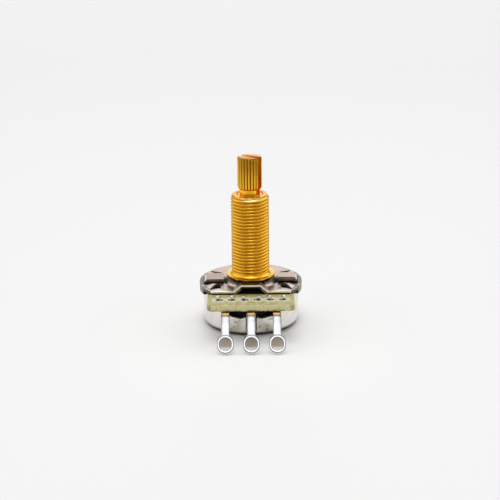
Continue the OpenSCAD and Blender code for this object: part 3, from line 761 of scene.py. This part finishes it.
# stamped mounting plate
plate = {
    "rim": 12.85, "front": 8.6, "top": 10.6, "sheet": 0.8, "edge": 0.22, "hole": 3.97, "steps": 192,
    "bossFoot": 6.7, "bossTop": 5.1, "channelFoot": 4.15, "channelTop": 2.35, "rise": 1.6,
    "innerFoot": 6.37, "innerTop": 4.77, "innerChannelFoot": 3.85, "innerChannelTop": 2.05,
    "fillet": 0.32, "join": 0.12,
    "domeX": 9.1, "domeY": -4.6, "domeRadius": 2.35, "domeHeight": 0.6,
    "slot": (10.6, 11.9, 2.55), "openNear": (7.75, 3.9), "openMiddle": (7.75, 5.8), "openTip": (9.95, 6.8),
    "openRadius": 0.3, "lipInner": 12.0, "lipDrop": 1.1, "lipFront": 5.3, "lipRear": 4.4,
    "holeRings": (4.3, 4.6), "bossRings": (4.8, 0.17, 14), "flatRings": (7.3, 0.36, 13),
    "rimRings": (12.25, 12.55),
}
plateLook = {
    "dark": (0.37, 0.286, 0.248), "light": (0.455, 0.367, 0.32), "cloudScale": 300, "grainScale": 3000,
    "roughness": (0.26, 0.40), "bump": 0.06, "bumpDepth": 0.00003,
}
plateMarks = {
    "pale": (10.4, 11.8, 0.4), "paleFront": (-2.8, -3.4), "paleHighlightColour": (0.62, 0.55, 0.52),
    "rim": (12.1, 12.4), "rimBelow": (10.58, 10.45), "lip": (11.9, 12.1), "lipEnd": (5.6, 5.2),
    "shine": (3.6, 4.2, 0.3), "shineShare": 0.85, "lipReflectionColour": (0.11, 0.105, 0.08),
    "bed": (3.0, 2.6), "bedOutside": (5.9, 6.2), "bedWithin": (12.1, 11.9), "bedShadeColour": (0.05, 0.043, 0.035),
    "crevice": (6.5, 6.0), "creviceAbove": (10.9, 11.2), "creviceShadeColour": (0.07, 0.05, 0.03),
    "channel": (2.8, 2.5), "channelFront": (-5.6, -5.9), "channelAbove": (11.9, 12.1),
    "channelShadeColour": (0.035, 0.020, 0.009),
    "slantOutside": (2.45, 2.6), "slantWithin": (4.2, 4.05), "slantShare": 0.6,
    "front": (-8.56, -8.59), "frontReflectionColour": (0.03, 0.028, 0.022),
    "line": (-8.2, -8.3), "lineDepth": (0.40, 0.32), "lineHighlightColour": (0.96, 0.94, 0.88),
}


def stainPlate(material, p, m):
    tree, coords, across, y, z = partCoords(material)
    r, along = fromAxis(tree, coords), absolute(tree, y)
    # painted highlight inside the rim, in front
    pale = product(tree, inBand(tree, r, m["pale"]), fade(tree, y, m["paleFront"]))
    paintOver(tree, pale, m["paleHighlightColour"])
    # painted dark reflection on the blanked rim and the lips, with less of it at the lips' ends as a painted
    # shine
    rim = product(tree, fade(tree, r, m["rim"]), fade(tree, z, m["rimBelow"]))
    lip = product(tree, fade(tree, r, m["lip"]), fade(tree, along, m["lipEnd"]))
    unlit = mathNode(tree, "MULTIPLY_ADD", inBand(tree, along, m["shine"]), -m["shineShare"], 1.0)
    paintOver(tree, product(tree, mathNode(tree, "MAXIMUM", rim, lip), unlit), m["lipReflectionColour"])
    # painted shade under the ears, under the bushing's flange and on the channel in front of it
    bed = product(tree, fade(tree, along, m["bed"]), fade(tree, across, m["bedOutside"]),
                  fade(tree, r, m["bedWithin"]))
    paintOver(tree, bed, m["bedShadeColour"])
    crevice = product(tree, fade(tree, r, m["crevice"]), fade(tree, z, m["creviceAbove"]))
    paintOver(tree, crevice, m["creviceShadeColour"])
    channel = product(tree, fade(tree, across, m["channel"]), fade(tree, y, m["channelFront"]),
                      fade(tree, z, m["channelAbove"]))
    paintOver(tree, channel, m["channelShadeColour"])
    # painted dark reflection on the front edge, with a painted highlight line along its top that climbs with
    # the channel
    climb = fade(tree, across, (p["channelFoot"], p["channelTop"]))
    crown = mathNode(tree, "MULTIPLY_ADD", climb, p["rise"] * toMetres, p["top"] * toMetres)
    depth = mathNode(tree, "SUBTRACT", crown, z)
    outer, inner = fade(tree, across, m["slantOutside"]), fade(tree, across, m["slantWithin"])
    darkness = mathNode(tree, "MULTIPLY_ADD", mathNode(tree, "MINIMUM", outer, inner), -m["slantShare"], 1.0)
    paintOver(tree, product(tree, fade(tree, y, m["front"]), darkness), m["frontReflectionColour"])
    line = product(tree, fade(tree, y, m["line"]), fade(tree, depth, m["lineDepth"]))
    paintOver(tree, line, m["lineHighlightColour"])


def cutOpening(bm, corners):
    # corners run anticlockwise; the faces round them are split along each side, then those inside go
    margin = 0.4
    left, right = min(x for x, y in corners) - margin, max(x for x, y in corners) + margin
    low, high = min(y for x, y in corners) - margin, max(y for x, y in corners) + margin
    sides = list(zip(corners, corners[1:] + corners[:1]))
    for (ax, ay), (bx, by) in sides:
        near = [f for f in bm.faces if any(left < v.co.x < right and low < v.co.y < high for v in f.verts)]
        ends = [e for f in near for e in f.edges] + [v for f in near for v in f.verts]
        geom = list(dict.fromkeys(near + ends))
        bmesh.ops.bisect_plane(bm, geom=geom, dist=1e-4, plane_co=(ax, ay, 0), plane_no=(by - ay, ax - bx, 0))
    inside = []
    for f in bm.faces:
        c = f.calc_center_median()
        if all((bx - ax) * (c.y - ay) > (by - ay) * (c.x - ax) for (ax, ay), (bx, by) in sides):
            inside.append(f)
    bmesh.ops.delete(bm, geom=inside, context="FACES")


def cutOpenings(bm, p):
    near, middle, tip, r = p["openNear"], p["openMiddle"], p["openTip"], p["openRadius"]
    opening = arcPoints(near[0], near[1], r, 180, 315, 3) + arcPoints(tip[0], tip[1], r, -45, 110, 4)
    opening += arcPoints(middle[0], middle[1], r, 110, 180, 2)
    x0, x1, half = p["slot"]
    for sx in (-1, 1):
        slot = [(sx * x0, -half), (sx * x1, -half), (sx * x1, half), (sx * x0, half)]
        cutOpening(bm, slot if sx > 0 else slot[::-1])
        for sy in (-1, 1):
            corners = [(sx * x, sy * y) for x, y in opening]
            cutOpening(bm, corners if sx * sy > 0 else corners[::-1])


def softRamp(t, k):
    # 0 below -k, t above k, a parabola between
    return 0.0 if t < -k else t if t > k else (t + k) ** 2 / (4 * k)


def roundedStep(distance, width, rise, fillet):
    # height of a slope that climbs over the given width, with rounded foot and top
    k = fillet / 2
    return rise * (softRamp(distance, k) - softRamp(distance - width, k)) / width


def pressedHeight(p, x, y, under):
    foot = p["innerFoot"] if under else p["bossFoot"]
    top = p["innerTop"] if under else p["bossTop"]
    channelFoot = p["innerChannelFoot"] if under else p["channelFoot"]
    channelTop = p["innerChannelTop"] if under else p["channelTop"]
    boss = roundedStep(foot - hypot(x, y), foot - top, p["rise"], p["fillet"])
    channel = 0.0
    if y < 0:
        channel = roundedStep(channelFoot - abs(x), channelFoot - channelTop, p["rise"], p["fillet"])
    height = boss + softRamp(channel - boss, p["join"])
    away = hypot(abs(x) - p["domeX"], y - p["domeY"]) / p["domeRadius"]
    if away < 1:
        height += p["domeHeight"] * (1 - away * away) ** 1.5
    return height


def makePlate(p):
    bm = bmesh.new()
    bmesh.ops.create_circle(bm, cap_ends=False, segments=p["steps"], radius=p["hole"])
    rings = list(p["holeRings"])
    for first, step, count in (p["bossRings"], p["flatRings"]):
        rings += [first + step * i for i in range(count)]
    rings += [p["lipInner"], *p["rimRings"], p["rim"]]
    sweepProfile(bm, bm.edges[:], [(r, 0) for r in rings])
    bmesh.ops.bisect_plane(bm, geom=allOf(bm), dist=1e-4, plane_co=(0, -p["front"], 0), plane_no=(0, -1, 0),
                           clear_outer=True)
    cutOpenings(bm, p)
    under = bmesh.ops.extrude_face_region(bm, geom=bm.faces[:], use_keep_orig=True)["geom"]
    bmesh.ops.translate(bm, verts=vertsOf(under), vec=(0, 0, -p["sheet"]))
    # the lips are drawn down from the rim beside the ears
    lips = []
    for f in bm.faces:
        c = f.calc_center_median()
        outside = hypot(c.x, c.y) > p["lipInner"]
        if c.z < 0.01 - p["sheet"] and outside and -p["lipFront"] < c.y < p["lipRear"]:
            lips.append(f)
    drawn = bmesh.ops.extrude_face_region(bm, geom=lips)["geom"]
    bmesh.ops.translate(bm, verts=vertsOf(drawn), vec=(0, 0, -p["lipDrop"]))
    bmesh.ops.recalc_face_normals(bm, faces=bm.faces)
    breakEdges(bm, levelSharpEdges(bm, 60), p["edge"], 1)
    # then the whole sheet is pressed
    for v in bm.verts:
        depth = min(1.0, max(0.0, -v.co.z / p["sheet"]))
        x, y = v.co.x, v.co.y
        upper, lower = pressedHeight(p, x, y, False), pressedHeight(p, x, y, True)
        v.co.z += p["top"] + upper + (lower - upper) * depth
    return makePiece("stampedPlate", bm, "housing", nickelPlate, "mounting_plate",
                     sharpAngle=35)


nickelPlate = metalMaterial("nickelPlate", plateLook)
stainPlate(nickelPlate, plate, plateMarks)
makePlate(plate)
print("plate made")


# resin laminate of the board: olive, mottled, with short fibres that show most on the sawn edge
board = {"edge": 0.08, "edgeSteps": 2}
boardLook = {
    "dark": (0.235, 0.21, 0.08), "middle": (0.36, 0.325, 0.135), "light": (0.49, 0.455, 0.225),
    "mottleScale": 900, "fibreScale": 2600, "fibreStretch": (0.25, 0.25, 2.2), "roughness": (0.42, 0.62),
    "bump": 0.35, "bumpDepth": 0.00004,
}
boardMarks = {
    "edgeFront": (-16.00, -16.06), "edgeSide": (10.55, 10.62), "edgeShare": 0.55,
    "edgeColour": (0.80, 0.74, 0.42), "underPlate": (-8.4, -8.1), "underPlateShadeColour": (0.025, 0.023, 0.015),
    "curlAside": 1.6, "pad": (1.9, 1.3), "padShare": 0.5, "padHighlightColour": (0.80, 0.80, 0.72),
    "hollow": (1.05, 0.65), "hollowShadeColour": (0.05, 0.045, 0.03),
    "darkFoot": (8.75, 8.4), "darkFootScale": 1900, "darkFootLevel": (0.44, 0.56), "darkFootColour": (0.13, 0.115, 0.04),
    "speckScale": 2100, "speckLevel": 0.66, "speckColour": (0.12, 0.10, 0.04),
}


def boardMaterial(name, look):
    material, tree, shader, vector = startMaterial(name)
    mottle = noiseNode(tree, vector, look["mottleScale"], 5, 0.65)
    colour = rampNode(tree, mottle, [(0.28, look["dark"]), (0.5, look["middle"]), (0.78, look["light"])])
    tree.links.new(colour, shader.inputs["Base Color"])
    fibre = noiseNode(tree, stretched(tree, vector, look["fibreStretch"]), look["fibreScale"], 3, 0.6)
    tree.links.new(greyRamp(tree, fibre, *look["roughness"]), shader.inputs["Roughness"])
    tree.links.new(bumpNode(tree, fibre, look["bump"], look["bumpDepth"]), shader.inputs["Normal"])
    return material


def stainBoard(material, m):
    tree, coords, across, y, z = partCoords(material)
    # the sawn edge is paler than the face
    edge = mathNode(tree, "MAXIMUM", fade(tree, y, m["edgeFront"]), fade(tree, across, m["edgeSide"]))
    paintOver(tree, product(tree, edge, m["edgeShare"]), m["edgeColour"])
    # painted shade under the plate, and round each prong a rim of painted highlight with painted shade in its
    # middle
    paintOver(tree, fade(tree, y, m["underPlate"]), m["underPlateShadeColour"])
    offCurl = mathNode(tree, "SUBTRACT", nearestLug(tree, across, lug["pitch"]), m["curlAside"] * toMetres)
    offRow = mathNode(tree, "SUBTRACT", y, prong["y"] * toMetres)
    reach = distanceOf(tree, offCurl, offRow)
    paintOver(tree, product(tree, fade(tree, reach, m["pad"]), m["padShare"]), m["padHighlightColour"])
    paintOver(tree, fade(tree, reach, m["hollow"]), m["hollowShadeColour"])
    # dark speckled marks along the foot of the sawn edge
    grain = noiseNode(tree, coords, m["darkFootScale"], 3, 0.6)
    foot = product(tree, edge, fade(tree, z, m["darkFoot"]))
    paintOver(tree, product(tree, foot, mapRange(tree, grain, *m["darkFootLevel"])), m["darkFootColour"])
    specks(tree, coords, m)


oliveBoard = boardMaterial("oliveBoard", boardLook)
stainBoard(oliveBoard, boardMarks)
boardCopy = softenedCopy("element_board", board["edge"], board["edgeSteps"])
makePiece("laminateBoard", boardCopy, "housing", oliveBoard, "element_board")
print("board made")


# the pieces inside keep their own shapes
steelLook = {
    "dark": (0.50, 0.50, 0.50), "light": (0.64, 0.64, 0.64), "cloudScale": 300, "grainScale": 2500,
    "roughness": (0.25, 0.4), "bump": 0.2, "bumpDepth": 0.00002,
}
springLook = {
    "dark": (0.18, 0.18, 0.19), "light": (0.30, 0.30, 0.31), "cloudScale": 300, "grainScale": 2500,
    "roughness": (0.3, 0.45), "bump": 0.2, "bumpDepth": 0.00002,
}
bronzeLook = {
    "dark": (0.62, 0.38, 0.20), "light": (0.76, 0.50, 0.29), "cloudScale": 300, "grainScale": 2500,
    "roughness": (0.22, 0.36), "bump": 0.2, "bumpDepth": 0.00002,
}
# the moulding's brown is painted near black, as shade on the driver inside the cover
shadedMouldingLook = {
    "dark": (0.020, 0.011, 0.007), "light": (0.042, 0.023, 0.014), "roughness": 0.50, "scale": 1200,
}
carbonLook = {
    "dark": (0.008, 0.008, 0.008), "light": (0.016, 0.016, 0.016), "roughness": 0.55, "scale": 2500,
}
silverLook = {
    "dark": (0.50, 0.50, 0.48), "light": (0.62, 0.62, 0.60), "metallic": 0.8, "roughness": 0.42,
    "scale": 2500,
}


def plainMaterial(name, look):
    material, tree, shader, vector = startMaterial(name)
    shader.inputs["Metallic"].default_value = look.get("metallic", 0.0)
    cloud = noiseNode(tree, vector, look["scale"], 4)
    colour = rampNode(tree, cloud, [(0.3, look["dark"]), (0.7, look["light"])])
    tree.links.new(colour, shader.inputs["Base Color"])
    roughness = greyRamp(tree, cloud, look["roughness"], look["roughness"] + 0.12)
    tree.links.new(roughness, shader.inputs["Roughness"])
    tree.links.new(bumpNode(tree, cloud, 0.2, 0.00003), shader.inputs["Normal"])
    return material


silverPrint = plainMaterial("silverPrint", silverLook)
paintNode("thrust_washer", metalMaterial("plainSteel", steelLook))
paintNode("driver", plainMaterial("shadedBrownMoulding", shadedMouldingLook))
paintNode("wiper_contact", metalMaterial("springBronze", bronzeLook))
paintNode("retaining_ring", metalMaterial("springSteel", springLook))
paintNode("carbon_track", plainMaterial("carbonPrint", carbonLook))
paintNode("end_pad_left", silverPrint)
paintNode("end_pad_right", silverPrint)
print("inner pieces painted")


# floor, light and camera: the floor's size, its palest point and the view are in metres, and the ramp
# round that point, the shade and the dark card in millimetres
studio = {
    "floorSize": 6.0, "roughness": 0.6, "specular": 0.2, "palest": (0, -0.015, 0), "rampReach": 400,
    "lightPoolRamp": [(0, (0.82, 0.82, 0.79)), (5, (0.84, 0.84, 0.82)), (8, (0.79, 0.79, 0.78)),
                  (13, (0.735, 0.735, 0.73)), (22, (0.715, 0.715, 0.71)), (40, (0.68, 0.68, 0.68)),
                  (110, (0.668, 0.665, 0.668)), (400, (0.635, 0.625, 0.63))],
    "shadePitch": 6.37, "shadeAside": (2.2, 1.2), "shadeBand": (-17.8, -12.4, 1.4),
    "shadeColour": (0.46, 0.39, 0.31),
    "dark": (-108, -160), "darkColour": (0.18, 0.18, 0.18), "room": 0.50,
}
# soft round lights: azimuth (0 = from the camera), height, size, strength
skyLights = [
    (60, 10, 20, 0.54), (-120, 10, 20, 0.30), (180, 10, 20, 1.19), (0, 38, 12, 0.35), (0, 58, 12, 0.92),
    (-70, 42, 20, 0.89), (75, 42, 20, 0.40), (130, 42, 20, 1.45), (-130, 42, 20, 1.10), (0, 88, 16, 3.7),
    (-90, 18, 16, 0.5), (90, 18, 16, 0.5),
]


def floorMaterial(s):
    material, tree, shader, coords = startMaterial("paleFloor")
    shader.inputs["Roughness"].default_value = s["roughness"]
    shader.inputs["Specular IOR Level"].default_value = s["specular"]
    split = tree.nodes.new("ShaderNodeSeparateXYZ")
    tree.links.new(coords, split.inputs["Vector"])
    # painted pool of light: the floor is palest round the part and darker further off
    away = vectorNode(tree, "LENGTH", vectorNode(tree, "SUBTRACT", coords, s["palest"]))
    stops = [(reach / s["rampReach"], colour) for reach, colour in s["lightPoolRamp"]]
    colour = rampNode(tree, fade(tree, away, (0, s["rampReach"])), stops)
    # contact shade behind the eyelets
    aside = nearestLug(tree, absolute(tree, split.outputs["X"]), s["shadePitch"])
    band = inBand(tree, split.outputs["Y"], s["shadeBand"])
    shade = product(tree, fade(tree, aside, s["shadeAside"], True), band)
    colour = mixed(tree, shade, colour, s["shadeColour"])
    # towards the viewer it turns into a dark card, which only reflections see
    path = tree.nodes.new("ShaderNodeLightPath")
    unseen = mathNode(tree, "SUBTRACT", 1.0, path.outputs["Is Camera Ray"])
    card = product(tree, unseen, fade(tree, split.outputs["Y"], s["dark"], True))
    tree.links.new(mixed(tree, card, colour, s["darkColour"]), shader.inputs["Base Color"])
    return material


def makeFloor(s):
    bm = bmesh.new()
    bmesh.ops.create_grid(bm, x_segments=1, y_segments=1, size=s["floorSize"] / 2)
    mesh = meshOf("paleFloor", bm)
    floor = linked("paleFloor", mesh)
    mesh.materials.append(floorMaterial(s))


def makeWorld(s, lights):
    # a dim room with the soft round lights
    world = bpy.data.worlds.new("studio")
    bpy.context.scene.world = world
    world.use_nodes = True
    tree = world.node_tree
    tree.nodes.clear()
    direction = tree.nodes.new("ShaderNodeTexCoord").outputs["Generated"]
    total = s["room"]
    for azimuth, height, size, strength in lights:
        a, h = radians(azimuth), radians(height)
        towards = vectorNode(tree, "DOT_PRODUCT", direction, (sin(a) * cos(h), -cos(a) * cos(h), sin(h)))
        spot = mapRange(tree, towards, cos(radians(size * 1.5)), cos(radians(size * 0.5)), True)
        total = mathNode(tree, "MULTIPLY_ADD", spot, strength, total)
    light = tree.nodes.new("ShaderNodeBackground")
    tree.links.new(total, light.inputs["Color"])
    output = tree.nodes.new("ShaderNodeOutputWorld")
    tree.links.new(light.outputs[0], output.inputs["Surface"])


view = {
    "target": (-0.000100, 0, 0.018556), "distance": 0.300, "tilt": 18.105, "roll": -0.627, "focal": 86.22,
    "sensor": 36, "clip": 0.01,
}


def makeCamera(v):
    data = bpy.data.cameras.new("photoCamera")
    data.sensor_width = v["sensor"]
    data.lens = v["focal"]
    data.clip_start = v["clip"]
    camera = linked("photoCamera", data)
    target = Vector(v["target"])
    tilt = radians(v["tilt"])
    camera.location = target + Vector((0, -cos(tilt), sin(tilt))) * v["distance"]
    look = (target - camera.location).to_track_quat("-Z", "Y")
    camera.rotation_euler = (look @ Quaternion((0, 0, 1), radians(v["roll"]))).to_euler()
    bpy.context.scene.camera = camera


makeFloor(studio)
makeWorld(studio, skyLights)
makeCamera(view)
bpy.context.scene.view_settings.view_transform = "Standard"
print("studio ready")
